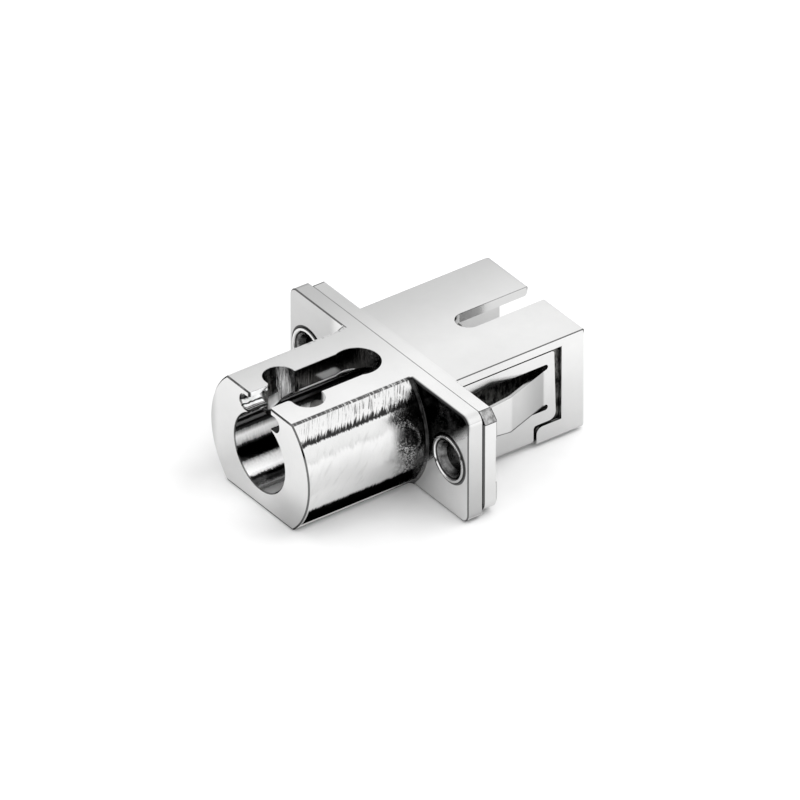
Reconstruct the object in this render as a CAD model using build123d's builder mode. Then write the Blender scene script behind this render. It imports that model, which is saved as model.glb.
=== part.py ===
from build123d import *
from math import radians, tan
import os

# Hybrid fibre adapter: a round-barrel socket on one side, a rectangular plug port on the other.
# Millimetres. The fibre axis is Y: the barrel points to -Y, the rectangular port to +Y, and Z is up.
# The origin is on the fibre axis, in the plane where the rear flange seats on a panel.

# Flanges
flange_width = 23.8
front_flange_thickness = 1.55
rear_flange_thickness = 1.36
rear_flange_margin = 0.05
flange_corner_radius = 0.85
rear_flange_top_chamfer = 0.8
rear_flange_lower_radius = 1.1
rear_flange_edge_chamfer = 0.14
flange_edge_radius = 0.16
flange_parting_chamfer = 0.17

# Barrel
barrel_diameter = 13.2
across_flats = 9.9
barrel_length = 11.55
barrel_lower_corner_radius = 0.45
barrel_front_chamfer = 0.12
barrel_root_radius = 0.3
bore_diameter = 6.7
bore_mouth_chamfer = 0.1

# Key channel under the barrel's top flat, and the slots that open it
key_channel_width = 5.4
key_channel_height = 1.45
key_channel_roof = 0.45
neck_width = 2.7
neck_corner_radius = 0.3
cross_slot_setback = 3.35
cross_slot_length = 6.6
cross_slot_width = 2.76
rear_slot_width = 3.6
rear_slot_end_diameter = 3.9
rear_slot_end_gap = 0.12

# Rectangular shell
shell_length = 12.67
shell_side_wall = 1.85
shell_top_wall = 0.85
shell_long_edge_radius = 0.12
shell_rear_edge_radius = 0.38
port_width = 9.1
port_height = 7.5
port_corner_radius = 0.3
port_mouth_chamfer = 0.4
keyway_width = 2.25
keyway_depth = 7.9
keyway_mouth_radius = 0.35

# Hollow rivets, each in the middle of the flange's ear
rivet_rim_margin = 0.45
rivet_rim_height = 0.16
rivet_rim_width = 0.34
rivet_rim_chamfer = 0.09
rivet_bowl_width = 0.3
rivet_bowl_depth = 0.28
rivet_throat_depth = 0.75
rivet_seat_angle = 64.0
rivet_bore_step = 0.92
rivet_wall = 0.3
rivet_tail_overlap = 0.4
rivet_tail_height = 0.42
rivet_tail_flare = 0.25
rivet_tail_chamfer = 0.12
rivet_hole_clearance = 0.04
tail_recess_margin = 0.22
tail_recess_depth = 0.2

# Panel clip, one bent sheet with a sprung tang in each side
clip_thickness = 0.3
clip_clearance = 0.03
clip_inner_bend_radius = 0.3
clip_strap_length = 7.56
clip_side_overhang = 2.19
clip_side_land = 0.9
clip_side_height = 6.45
clip_rear_slant = 0.2
clip_upper_corner_radius = 0.25
clip_lower_corner_radius = 0.65
clip_end_gap = 0.54
clip_side_gap = 0.12
clip_lower_gap = 0.3
clip_front_relief = 0.1
ledge_corner_radius = 0.6
tang_upper_land = 1.04
tang_height = 3.28
tang_root_land = 1.05
tang_slot_width = 0.5
tang_rise = 1.55
tang_slope_length = 4.5
tang_tip_length = 2.05
tang_tip_taper = 0.22
tang_tip_gap = 0.55
tang_bend_radius = 1.1
tang_bend_land = 0.35
tang_pocket_floor = 0.67

# Sleeve holder in the barrel
holder_shoulder = 0.85
holder_disc_thickness = 0.9
holder_tube_length = 5.8
guide_tube_diameter = 4.8
holder_clearance = 0.05

# Moulded latch insert in the shell
insert_side_shoulder = 0.6
insert_top_shoulder = 0.4
insert_base_thickness = 1.1
insert_corner_radius = 0.5
insert_clearance = 0.05
latch_arm_thickness = 0.9
latch_arm_width = 3.0
latch_arm_wall_gap = 0.2
latch_tip_setback = 4.9
latch_hook_height = 0.7
latch_hook_length = 1.5

# Split alignment sleeve and the lips that keep it in
sleeve_diameter = 3.2
sleeve_bore = 2.5
sleeve_length = 11.4
sleeve_slit = 0.45
sleeve_end_chamfer = 0.12
sleeve_running_clearance = 0.075
sleeve_float = 0.3
lip_thickness = 0.5
lip_hole_diameter = 2.7
tube_end_chamfer = 0.16

# How close an edge or corner must lie to the place it is picked by
pick_tolerance = 0.001

# Planes along the fibre axis
seat_y = 0.0
parting_y = seat_y - rear_flange_thickness
flange_front_y = parting_y - front_flange_thickness
barrel_front_y = flange_front_y - barrel_length
shell_rear_y = seat_y + shell_length

# Places worked out from the driving dimensions
barrel_radius = barrel_diameter / 2
flat_z = across_flats / 2
cross_slot_y = barrel_front_y + cross_slot_setback
rear_slot_end_y = flange_front_y - rear_slot_end_gap
rear_slot_centre_y = rear_slot_end_y - rear_slot_end_diameter / 2
key_channel_z = flat_z - key_channel_roof - key_channel_height / 2
shell_width = port_width + 2 * shell_side_wall
shell_height = port_height + 2 * shell_top_wall
rear_flange_height = shell_height + 2 * rear_flange_margin
holder_disc_radius = bore_diameter / 2 + holder_shoulder
holder_pocket_depth = holder_disc_thickness + holder_clearance
insert_base_width = port_width + 2 * insert_side_shoulder
insert_base_height = port_height + 2 * insert_top_shoulder
insert_pocket_depth = insert_base_thickness + insert_clearance
flange_ear = flange_width / 2 - barrel_radius - barrel_root_radius
rivet_pitch = flange_width - flange_ear
rivet_rim_radius = flange_ear / 2 - rivet_rim_margin
rivet_mouth_radius = rivet_rim_radius - rivet_rim_width
rivet_bore_radius = rivet_rim_radius - rivet_bore_step
rivet_shank_radius = rivet_bore_radius + rivet_wall
rivet_seat_width = rivet_mouth_radius - rivet_shank_radius
rivet_seat_depth = rivet_seat_width / tan(radians(rivet_seat_angle / 2))
rivet_tail_radius = rivet_shank_radius + rivet_tail_overlap
rivet_hole_radius = rivet_shank_radius + rivet_hole_clearance
tail_recess_height = 2 * (rivet_tail_radius + tail_recess_margin)
tail_face_y = seat_y - tail_recess_depth
guide_bore_radius = sleeve_diameter / 2 + sleeve_running_clearance
holder_disc_front_y = parting_y - holder_disc_thickness
holder_tube_end_y = holder_disc_front_y - holder_tube_length
sleeve_front_y = holder_tube_end_y + lip_thickness + sleeve_float / 2
insert_tube_end_y = sleeve_front_y + sleeve_length + sleeve_float / 2 + lip_thickness
clip_recess_depth = clip_thickness + clip_clearance
clip_side_top = shell_height / 2 - clip_side_land
clip_side_bottom = clip_side_top - clip_side_height
clip_side_length = clip_strap_length + clip_side_overhang
tang_top = clip_side_top - tang_upper_land - tang_slot_width
tang_bottom = tang_top - tang_height
tang_root_y = clip_side_length - tang_root_land
tang_bend_y = tang_root_y - tang_slope_length
tang_tip_y = tang_bend_y - tang_tip_length
tang_window_y = tang_tip_y - tang_tip_gap
tang_pocket_depth = shell_side_wall - clip_recess_depth - tang_pocket_floor


def cross_plane(y):
    """The plane square to the fibre axis at y, facing the barrel's front."""
    return Plane.XZ.offset(-y)


def outline_at(part, y):
    """The edges of the part that lie in the plane square to the fibre axis at y."""
    return part.edges().filter_by_position(Axis.Y, y - pick_tolerance, y + pick_tolerance)


# Hollow rounding in the corner between barrel and flange, level with the flats
with BuildPart() as barrel_root:
    root_outer_radius = barrel_radius + barrel_root_radius
    root_front_y = flange_front_y - barrel_root_radius
    with BuildSketch(Plane.XY):
        with BuildLine():
            Polyline(
                (barrel_radius, root_front_y),
                (barrel_radius - barrel_root_radius, root_front_y),
                (barrel_radius - barrel_root_radius, flange_front_y),
                (root_outer_radius, flange_front_y),
            )
            RadiusArc(
                (root_outer_radius, flange_front_y),
                (barrel_radius, root_front_y),
                -barrel_root_radius,
            )
        make_face()
    revolve(axis=Axis.Y)
    with BuildSketch(cross_plane(flange_front_y)):
        Rectangle(2 * barrel_diameter, across_flats)
    extrude(amount=barrel_root_radius, mode=Mode.INTERSECT)

# Front housing: one casting, the flatted barrel and the front flange
with BuildPart() as front_housing:
    with BuildSketch(cross_plane(parting_y)):
        RectangleRounded(flange_width, across_flats, flange_corner_radius)
    extrude(amount=front_flange_thickness)
    fillet(outline_at(front_housing, flange_front_y), flange_edge_radius)
    chamfer(outline_at(front_housing, parting_y), flange_parting_chamfer)

    # The barrel grows out of the middle of the flange, its flats level with the flange's edges
    add(barrel_root.part)
    with BuildSketch(cross_plane(parting_y - front_flange_thickness / 2)) as barrel_section:
        Circle(barrel_radius)
        Rectangle(barrel_diameter, across_flats, mode=Mode.INTERSECT)
        fillet(barrel_section.vertices().group_by(Axis.Y)[0], barrel_lower_corner_radius)
    extrude(amount=barrel_length + front_flange_thickness / 2)
    chamfer(outline_at(front_housing, barrel_front_y), barrel_front_chamfer)

    # Bore, its mouth, and the pocket for the sleeve holder's disc
    with BuildSketch(cross_plane(barrel_front_y)):
        Circle(bore_diameter / 2)
    extrude(amount=-(barrel_length + front_flange_thickness), mode=Mode.SUBTRACT)
    with BuildSketch(cross_plane(barrel_front_y)):
        Circle(bore_diameter / 2 + bore_mouth_chamfer)
    extrude(amount=-bore_mouth_chamfer, taper=45, mode=Mode.SUBTRACT)
    with BuildSketch(cross_plane(parting_y)):
        Circle(holder_disc_radius + holder_clearance)
    extrude(amount=holder_pocket_depth, mode=Mode.SUBTRACT)

    # Undercut key channel, from the front face to the cross slot
    with BuildSketch(cross_plane(barrel_front_y)):
        with Locations((0, key_channel_z)):
            SlotOverall(key_channel_width, key_channel_height)
    extrude(amount=-cross_slot_setback, mode=Mode.SUBTRACT)

    # Neck, cross slot and rear slot, cut straight down into the bore
    with BuildSketch(Plane.XY.offset(flat_z)) as top_slots:
        with Locations((0, barrel_front_y)):
            Rectangle(barrel_diameter, bore_diameter, align=(Align.CENTER, Align.MAX))
            Rectangle(neck_width, cross_slot_setback, align=(Align.CENTER, Align.MIN))
        with Locations((0, cross_slot_y)):
            SlotOverall(cross_slot_length, cross_slot_width)
            Rectangle(
                rear_slot_width,
                rear_slot_centre_y - cross_slot_y,
                align=(Align.CENTER, Align.MIN),
            )
        with Locations((0, rear_slot_centre_y)):
            Circle(rear_slot_end_diameter / 2)
        fillet(
            top_slots.vertices().filter_by(
                lambda v: abs(abs(v.X) - neck_width / 2) < pick_tolerance
            ),
            neck_corner_radius,
        )
    extrude(amount=-flat_z, mode=Mode.SUBTRACT)

    # Rivet holes, each with a conical seat for the rivet's bowl
    with Locations(cross_plane(flange_front_y)):
        with GridLocations(rivet_pitch, 0, 2, 1):
            CounterSinkHole(
                rivet_hole_radius,
                rivet_mouth_radius + rivet_hole_clearance,
                counter_sink_angle=rivet_seat_angle,
            )

# Rear housing: one casting, the rear flange and the shell for the rectangular plug
with BuildPart() as rear_housing:
    with BuildSketch(cross_plane(parting_y)) as rear_flange_outline:
        Rectangle(flange_width, rear_flange_height)
        chamfer(rear_flange_outline.vertices().group_by(Axis.Y)[-1], rear_flange_top_chamfer)
        fillet(rear_flange_outline.vertices().group_by(Axis.Y)[0], rear_flange_lower_radius)
    extrude(amount=-rear_flange_thickness)
    chamfer(outline_at(rear_housing, seat_y), rear_flange_edge_chamfer)
    chamfer(outline_at(rear_housing, parting_y), flange_parting_chamfer)

    with BuildSketch(cross_plane(parting_y + rear_flange_thickness / 2)):
        RectangleRounded(shell_width, shell_height, shell_long_edge_radius)
    extrude(amount=-(shell_length + rear_flange_thickness / 2))
    fillet(outline_at(rear_housing, shell_rear_y), shell_rear_edge_radius)

    # Port for the plug, with a sloping lead-in, and the pocket for the insert's base
    with BuildSketch(cross_plane(parting_y)):
        RectangleRounded(port_width, port_height, port_corner_radius)
    extrude(amount=-(rear_flange_thickness + shell_length), mode=Mode.SUBTRACT)
    chamfer(
        outline_at(rear_housing, shell_rear_y)
        .filter_by(lambda e: abs(e.center().X) < port_width / 2 + pick_tolerance)
        .filter_by(lambda e: abs(e.center().Z) < port_height / 2 + pick_tolerance),
        port_mouth_chamfer,
    )
    with BuildSketch(cross_plane(parting_y)):
        RectangleRounded(
            insert_base_width + 2 * insert_clearance,
            insert_base_height + 2 * insert_clearance,
            insert_corner_radius,
        )
    extrude(amount=-insert_pocket_depth, mode=Mode.SUBTRACT)

    # Keyway in the top wall, open at the rear, with rounded corners at its mouth
    with BuildSketch(Plane.XY.offset(shell_height / 2)) as keyway:
        with Locations((0, shell_rear_y)):
            Rectangle(
                keyway_width,
                keyway_depth - keyway_width / 2,
                align=(Align.CENTER, Align.MAX),
            )
            Rectangle(shell_width, shell_side_wall, align=(Align.CENTER, Align.MIN))
        fillet(
            keyway.vertices().filter_by(
                lambda v: abs(v.Y - shell_rear_y) + abs(abs(v.X) - keyway_width / 2)
                < pick_tolerance
            ),
            keyway_mouth_radius,
        )
        with Locations((0, shell_rear_y - keyway_depth + keyway_width / 2)):
            Circle(keyway_width / 2)
    extrude(amount=-shell_height / 2, mode=Mode.SUBTRACT)

    # Shallow seat for the clip on both sides: its front part runs down to the strap's seat, and
    # behind that a ledge is left standing
    strap_seat_end_y = clip_strap_length + clip_lower_gap
    seat_front_y = seat_y - clip_front_relief
    seat_top = clip_side_top + clip_side_gap
    ledge_top = clip_side_bottom - clip_lower_gap
    with BuildSketch(Plane.YZ.offset(shell_width / 2)) as side_seat:
        with Locations((seat_front_y, seat_top)):
            Rectangle(strap_seat_end_y - seat_front_y, shell_height, align=(Align.MIN, Align.MAX))
            Rectangle(
                clip_side_length + clip_end_gap - seat_front_y,
                seat_top - ledge_top,
                align=(Align.MIN, Align.MAX),
            )
        fillet(
            side_seat.vertices().filter_by(
                lambda v: abs(v.X - strap_seat_end_y) + abs(v.Y - ledge_top) < pick_tolerance
            ),
            ledge_corner_radius,
        )
    side_cut = extrude(amount=-clip_recess_depth, mode=Mode.SUBTRACT)
    mirror(side_cut, about=Plane.YZ, mode=Mode.SUBTRACT)
    with BuildSketch(Plane.XY.offset(-shell_height / 2)):
        with Locations((0, seat_front_y)):
            Rectangle(
                shell_width, strap_seat_end_y - seat_front_y, align=(Align.CENTER, Align.MIN)
            )
    extrude(amount=clip_recess_depth, mode=Mode.SUBTRACT)
    seat_corner_x = shell_width / 2 - clip_recess_depth
    seat_corner_z = clip_recess_depth - shell_height / 2
    fillet(
        rear_housing.edges()
        .filter_by(Axis.Y)
        .filter_by(lambda e: abs(abs(e.center().X) - seat_corner_x) < pick_tolerance)
        .filter_by(lambda e: abs(e.center().Z - seat_corner_z) < pick_tolerance),
        clip_inner_bend_radius,
    )

    # Pocket in each side wall that the tang springs into
    with BuildSketch(Plane.YZ.offset(shell_width / 2 - clip_recess_depth)):
        with Locations((tang_window_y, tang_top + tang_slot_width)):
            Rectangle(
                tang_root_y - tang_window_y,
                tang_height + 2 * tang_slot_width,
                align=(Align.MIN, Align.MAX),
            )
    pocket_cut = extrude(amount=-tang_pocket_depth, mode=Mode.SUBTRACT)
    mirror(pocket_cut, about=Plane.YZ, mode=Mode.SUBTRACT)

    # Rivet holes, and the shallow recess across each end for their flared tails
    with Locations(cross_plane(parting_y)):
        with GridLocations(rivet_pitch, 0, 2, 1):
            Hole(rivet_hole_radius)
    with BuildSketch(cross_plane(seat_y)):
        Rectangle(flange_width, tail_recess_height)
        Rectangle(shell_width, shell_height, mode=Mode.SUBTRACT)
    extrude(amount=tail_recess_depth, mode=Mode.SUBTRACT)

# Tang: bends out of the side plate, then runs along the shell
with BuildPart() as tang:
    tang_inner_x = shell_width / 2 - clip_thickness
    with BuildSketch(Plane.XY.offset(tang_bottom)) as tang_profile:
        with BuildLine():
            Polyline(
                (shell_width / 2, tang_root_y + tang_bend_land),
                (shell_width / 2, tang_root_y),
                (shell_width / 2 + tang_rise, tang_bend_y),
                (shell_width / 2 + tang_rise, tang_tip_y),
                (tang_inner_x + tang_rise, tang_tip_y),
                (tang_inner_x + tang_rise, tang_bend_y),
                (tang_inner_x, tang_root_y),
                (tang_inner_x, tang_root_y + tang_bend_land),
                close=True,
            )
        make_face()
        for bend_y, inside in ((tang_root_y, -1), (tang_bend_y, 0)):
            at_bend = tang_profile.vertices().filter_by_position(
                Axis.Y, bend_y - pick_tolerance, bend_y + pick_tolerance
            )
            outside = -1 - inside
            fillet(at_bend.sort_by(Axis.X)[inside], tang_bend_radius)
            fillet(at_bend.sort_by(Axis.X)[outside], tang_bend_radius + clip_thickness)
    extrude(amount=tang_height)
    with BuildSketch(Plane.YZ.offset(tang_inner_x)) as tang_face:
        with BuildLine():
            Polyline(
                (tang_root_y + tang_bend_land, tang_top),
                (tang_bend_y, tang_top),
                (tang_tip_y, tang_top - tang_tip_taper),
                (tang_tip_y, tang_bottom + tang_tip_taper),
                (tang_bend_y, tang_bottom),
                (tang_root_y + tang_bend_land, tang_bottom),
                close=True,
            )
        make_face()
        fillet(tang_face.vertices().group_by(Axis.X)[0], tang_tip_taper)
    extrude(amount=tang_rise + clip_thickness, mode=Mode.INTERSECT)

# Panel clip: one bent sheet round the shell's sides and bottom, with a tang in each side
with BuildPart() as panel_clip:
    clip_front_y = seat_y + clip_clearance
    with BuildSketch(cross_plane(clip_front_y)) as strap_section:
        with Locations((0, clip_side_top)):
            Rectangle(
                shell_width,
                clip_side_top + shell_height / 2,
                align=(Align.CENTER, Align.MAX),
            )
        fillet(
            strap_section.vertices().group_by(Axis.Y)[0],
            clip_inner_bend_radius + clip_thickness,
        )
        with BuildSketch(cross_plane(clip_front_y), mode=Mode.SUBTRACT) as strap_inside:
            with Locations((0, clip_side_top)):
                Rectangle(
                    2 * tang_inner_x,
                    clip_side_top + shell_height / 2 - clip_thickness,
                    align=(Align.CENTER, Align.MAX),
                )
            fillet(strap_inside.vertices().group_by(Axis.Y)[0], clip_inner_bend_radius)
    extrude(amount=-(clip_strap_length - clip_front_y))

    # Rear half of each side plate, with a rounded inner corner above the strap
    with BuildSketch(Plane.YZ.offset(shell_width / 2)) as side_plate:
        with BuildLine():
            Polyline(
                (clip_strap_length / 2, clip_side_top),
                (clip_side_length - clip_rear_slant, clip_side_top),
                (clip_side_length, clip_side_bottom),
                (clip_strap_length / 2, clip_side_bottom),
                close=True,
            )
        make_face()
        fillet(side_plate.vertices().sort_by(Axis.X)[-1], clip_lower_corner_radius)
        fillet(side_plate.vertices().sort_by(Axis.Y)[-1], clip_upper_corner_radius)
    plate = extrude(amount=-clip_thickness)
    mirror(plate, about=Plane.YZ)
    fillet(
        panel_clip.edges()
        .filter_by(Axis.X)
        .filter_by(lambda e: abs(e.center().Y - clip_strap_length) < pick_tolerance)
        .filter_by(lambda e: abs(e.center().Z - clip_side_bottom) < pick_tolerance),
        clip_inner_bend_radius,
    )

    # Window in each side plate, with a round end to the slots above and below the tang
    slot_middles = (tang_top + tang_slot_width / 2, tang_bottom - tang_slot_width / 2)
    with BuildSketch(Plane.YZ.offset(shell_width / 2)):
        with Locations((tang_window_y, tang_top + tang_slot_width)):
            Rectangle(
                tang_root_y - tang_window_y,
                tang_height + 2 * tang_slot_width,
                align=(Align.MIN, Align.MAX),
            )
        with Locations((tang_window_y, tang_top)):
            Rectangle(
                tang_root_y + tang_bend_land - tang_window_y,
                tang_height,
                align=(Align.MIN, Align.MAX),
            )
        with Locations(*((tang_root_y, middle) for middle in slot_middles)):
            Circle(tang_slot_width / 2)
    window = extrude(amount=-clip_thickness, mode=Mode.SUBTRACT)
    mirror(window, about=Plane.YZ, mode=Mode.SUBTRACT)
    add(tang.part)
    mirror(tang.part, about=Plane.YZ)


def rivet_at(x):
    """A hollow rivet centred on x: rolled rim round a bowl in front, flared tail behind."""
    rim_front_y = flange_front_y - rivet_rim_height
    tail_end_y = tail_face_y + rivet_tail_height
    with BuildPart() as rivet:
        with BuildSketch(Plane.XY.move(Location((x, 0, 0)))):
            with BuildLine():
                Polyline(
                    (rivet_mouth_radius, rim_front_y + rivet_rim_chamfer),
                    (rivet_mouth_radius + rivet_rim_chamfer, rim_front_y),
                    (rivet_rim_radius - rivet_rim_chamfer, rim_front_y),
                    (rivet_rim_radius, rim_front_y + rivet_rim_chamfer),
                    (rivet_rim_radius, flange_front_y),
                    (rivet_mouth_radius, flange_front_y),
                    (rivet_shank_radius, flange_front_y + rivet_seat_depth),
                    (rivet_shank_radius, tail_face_y),
                    (rivet_tail_radius, tail_face_y),
                    (rivet_tail_radius, tail_end_y - rivet_tail_chamfer),
                    (rivet_tail_radius - rivet_tail_chamfer, tail_end_y),
                    (rivet_bore_radius + rivet_tail_flare, tail_end_y),
                    (rivet_bore_radius, tail_face_y - rivet_tail_flare),
                    (rivet_bore_radius, rim_front_y + rivet_throat_depth),
                    (rivet_mouth_radius - rivet_bowl_width, rim_front_y + rivet_bowl_depth),
                    close=True,
                )
            make_face()
        revolve(axis=Axis((x, 0, 0), (0, 1, 0)))
    return rivet.part


rivet_left = rivet_at(-rivet_pitch / 2)
rivet_right = rivet_at(rivet_pitch / 2)

# Sleeve holder: a disc in the front housing's pocket, with a guide tube that stands in the bore
with BuildPart() as front_sleeve_holder:
    with BuildSketch(cross_plane(parting_y)):
        Circle(holder_disc_radius)
    extrude(amount=holder_disc_thickness)
    with BuildSketch(cross_plane(holder_disc_front_y)):
        Circle(guide_tube_diameter / 2)
    extrude(amount=holder_tube_length)
    chamfer(outline_at(front_sleeve_holder, holder_tube_end_y), tube_end_chamfer)
    with BuildSketch(cross_plane(parting_y)):
        Circle(guide_bore_radius)
    extrude(
        amount=holder_disc_thickness + holder_tube_length - lip_thickness,
        mode=Mode.SUBTRACT,
    )
    with BuildSketch(cross_plane(holder_tube_end_y)):
        Circle(lip_hole_diameter / 2)
    extrude(amount=-lip_thickness, mode=Mode.SUBTRACT)

# Latch insert: base plate, guide tube and two hook arms, moulded in one
with BuildPart() as latch_insert:
    with BuildSketch(cross_plane(parting_y)):
        RectangleRounded(insert_base_width, insert_base_height, insert_corner_radius)
    extrude(amount=-insert_base_thickness)
    insert_face_y = parting_y + insert_base_thickness
    with BuildSketch(cross_plane(insert_face_y)):
        Circle(guide_tube_diameter / 2)
    extrude(amount=-(insert_tube_end_y - insert_face_y))
    chamfer(outline_at(latch_insert, insert_tube_end_y), tube_end_chamfer)

    arm_outer_x = port_width / 2 - latch_arm_wall_gap
    arm_inner_x = arm_outer_x - latch_arm_thickness
    latch_tip_y = shell_rear_y - latch_tip_setback
    hook_back_y = latch_tip_y - latch_hook_length
    with BuildSketch(Plane.XY.offset(-latch_arm_width / 2)) as arm_profile:
        with BuildLine():
            Polyline(
                (arm_outer_x, insert_face_y - insert_base_thickness / 2),
                (arm_outer_x, latch_tip_y),
                (arm_inner_x, latch_tip_y),
                (arm_inner_x - latch_hook_height, latch_tip_y - latch_hook_height),
                (arm_inner_x - latch_hook_height, hook_back_y),
                (arm_inner_x, hook_back_y),
                (arm_inner_x, insert_face_y - insert_base_thickness / 2),
                close=True,
            )
        make_face()
    arm = extrude(amount=latch_arm_width)
    mirror(arm, about=Plane.YZ)

    with BuildSketch(cross_plane(parting_y)):
        Circle(guide_bore_radius)
    extrude(amount=-(insert_tube_end_y - parting_y - lip_thickness), mode=Mode.SUBTRACT)
    with BuildSketch(cross_plane(insert_tube_end_y)):
        Circle(lip_hole_diameter / 2)
    extrude(amount=lip_thickness, mode=Mode.SUBTRACT)

# Alignment sleeve: a thin tube, split along its length, loose between the two lips
with BuildPart() as alignment_sleeve:
    with BuildSketch(cross_plane(sleeve_front_y)):
        Circle(sleeve_diameter / 2)
        Circle(sleeve_bore / 2, mode=Mode.SUBTRACT)
    extrude(amount=-sleeve_length)
    chamfer(
        alignment_sleeve.edges().filter_by(GeomType.CIRCLE).group_by(SortBy.RADIUS)[0],
        sleeve_end_chamfer,
    )
    with BuildSketch(Plane.XY.offset(sleeve_diameter / 2)):
        with Locations((0, sleeve_front_y)):
            Rectangle(sleeve_slit, sleeve_length, align=(Align.CENTER, Align.MIN))
    extrude(amount=-sleeve_diameter / 2, mode=Mode.SUBTRACT)

pieces = {
    "front_housing": front_housing.part,
    "rear_housing": rear_housing.part,
    "panel_clip": panel_clip.part,
    "rivet_left": rivet_left,
    "rivet_right": rivet_right,
    "front_sleeve_holder": front_sleeve_holder.part,
    "latch_insert": latch_insert.part,
    "alignment_sleeve": alignment_sleeve.part,
}

os.makedirs("parts", exist_ok=True)
for node, piece in pieces.items():
    piece.label = node
    export_step(piece, f"parts/{node}.step")
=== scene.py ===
import math

import bpy
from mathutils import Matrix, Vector

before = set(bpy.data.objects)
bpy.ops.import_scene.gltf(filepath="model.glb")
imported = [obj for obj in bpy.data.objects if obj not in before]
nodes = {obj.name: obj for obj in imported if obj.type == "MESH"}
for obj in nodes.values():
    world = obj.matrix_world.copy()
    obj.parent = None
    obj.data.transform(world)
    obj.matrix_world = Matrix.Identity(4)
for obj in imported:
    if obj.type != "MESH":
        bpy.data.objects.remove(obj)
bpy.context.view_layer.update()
scene = bpy.context.scene
MM = 0.001
X, Y, Z = 0, 1, 2


def extent(node, axis):
    """The lowest and highest place of a node's mesh along an axis, in mm."""
    places = [vertex.co[axis] / MM for vertex in nodes[node].data.vertices]
    return min(places), max(places)


# Places read from the frame, in mm. The fibre axis is Y, and the barrel points to -Y.
flange_end_x = extent("front_housing", X)[1]
barrel_front_y, parting_y = extent("front_housing", Y)
lower_flat_z, flat_z = extent("front_housing", Z)
shell_rear_y = extent("rear_housing", Y)[1]
rear_flange_top_z = extent("rear_housing", Z)[1]
rivet_x = sum(extent("rivet_right", X)) / 2
rivet_rim_radius = extent("rivet_right", Z)[1]

# Sizes of the front casting, in mm, and the places that follow from them
front_flange_thickness = 1.55
barrel_radius = 6.6
bore_radius = 3.35
channel_half_width = 2.7
neck_half_width = 1.35
cross_slot_setback = 3.35
cross_slot_width = 2.76
rear_slot_half_width = 1.8
flange_front_y = parting_y - front_flange_thickness
barrel_edge_x = math.sqrt(barrel_radius ** 2 - flat_z ** 2)
slot_foot_z = math.sqrt(bore_radius ** 2 - rear_slot_half_width ** 2)
cross_slot_y = barrel_front_y + cross_slot_setback
cross_slot_front_y = cross_slot_y - cross_slot_width / 2
cross_slot_rear_y = cross_slot_y + cross_slot_width / 2

# Sizes of the rear casting and its clip, in mm, and the places that follow from them
seat_y = 0.0
rear_flange_chamfer = 0.8
shell_half_width = 6.4
shell_top_z = 4.6
port_half_width = 4.55
port_top_z = 3.75
keyway_half_width = 1.125
keyway_depth = 7.9
tang_root_y = 8.7
tang_slope_length = 4.5
tang_bottom_z = -1.12
keyway_end_y = shell_rear_y - keyway_depth
tang_bend_y = tang_root_y - tang_slope_length

# Places of the painted marks, reflections, highlights and shade on the front casting, in mm
reflected_band_low_z = 3.38
reflected_band_high_z = 3.85
belt_reflection_top_z = -2.05
belt_reflection_bottom_z = -4.08
ear_shade_x = 7.9
highlight_patch_setback = 3.33
highlight_patch_z = 3.4
highlight_patch_lean = 0.7
stroke_lean = 0.75

# Painted reflection stripes along the bore: place round it in turns from the top towards -X, and tone
BORE_REFLECTION_STRIPES = (
    (0.15, 0.03), (0.165, 0.10), (0.18, 0.05), (0.20, 0.12), (0.215, 0.05), (0.24, 0.12),
    (0.255, 0.45), (0.27, 0.7), (0.285, 0.5), (0.30, 0.12), (0.315, 0.01), (0.345, 0.01),
    (0.36, 0.06), (0.375, 0.25), (0.39, 0.6), (0.41, 0.8), (0.422, 0.6), (0.43, 0.02),
    (0.445, 0.02), (0.455, 0.12), (0.47, 0.08), (0.485, 0.22), (0.50, 0.12), (0.53, 0.25),
    (0.57, 0.3), (0.62, 0.05),
)
# Tones of the painted reflections across the key channel's left side, from its left end at 0 to the neck
# at 1
CHANNEL_GLINT_STRIPES = (
    (0.02, 0.3), (0.05, 0.1), (0.09, 0.9), (0.19, 0.95), (0.23, 0.02), (0.26, 0.02),
    (0.30, 0.9), (0.40, 0.9), (0.45, 0.2), (0.51, 0.6), (0.56, 0.02), (0.60, 0.02),
    (0.64, 0.6), (0.69, 0.05), (0.93, 0.02), (0.955, 0.95),
)
# Brightness of the sky, from the horizon at 0 to straight overhead at 1
SKY_TONES = ((0.0, 0.86), (0.2, 0.94), (0.42, 0.98), (0.53, 1.0), (0.75, 0.95), (1.0, 0.8))


def opaque(colour):
    """A colour with its alpha, from a triple or from a number that stands for a grey."""
    if isinstance(colour, bpy.types.NodeSocket):
        return colour
    return (*colour, 1.0) if isinstance(colour, tuple) else (colour, colour, colour, 1.0)


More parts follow.
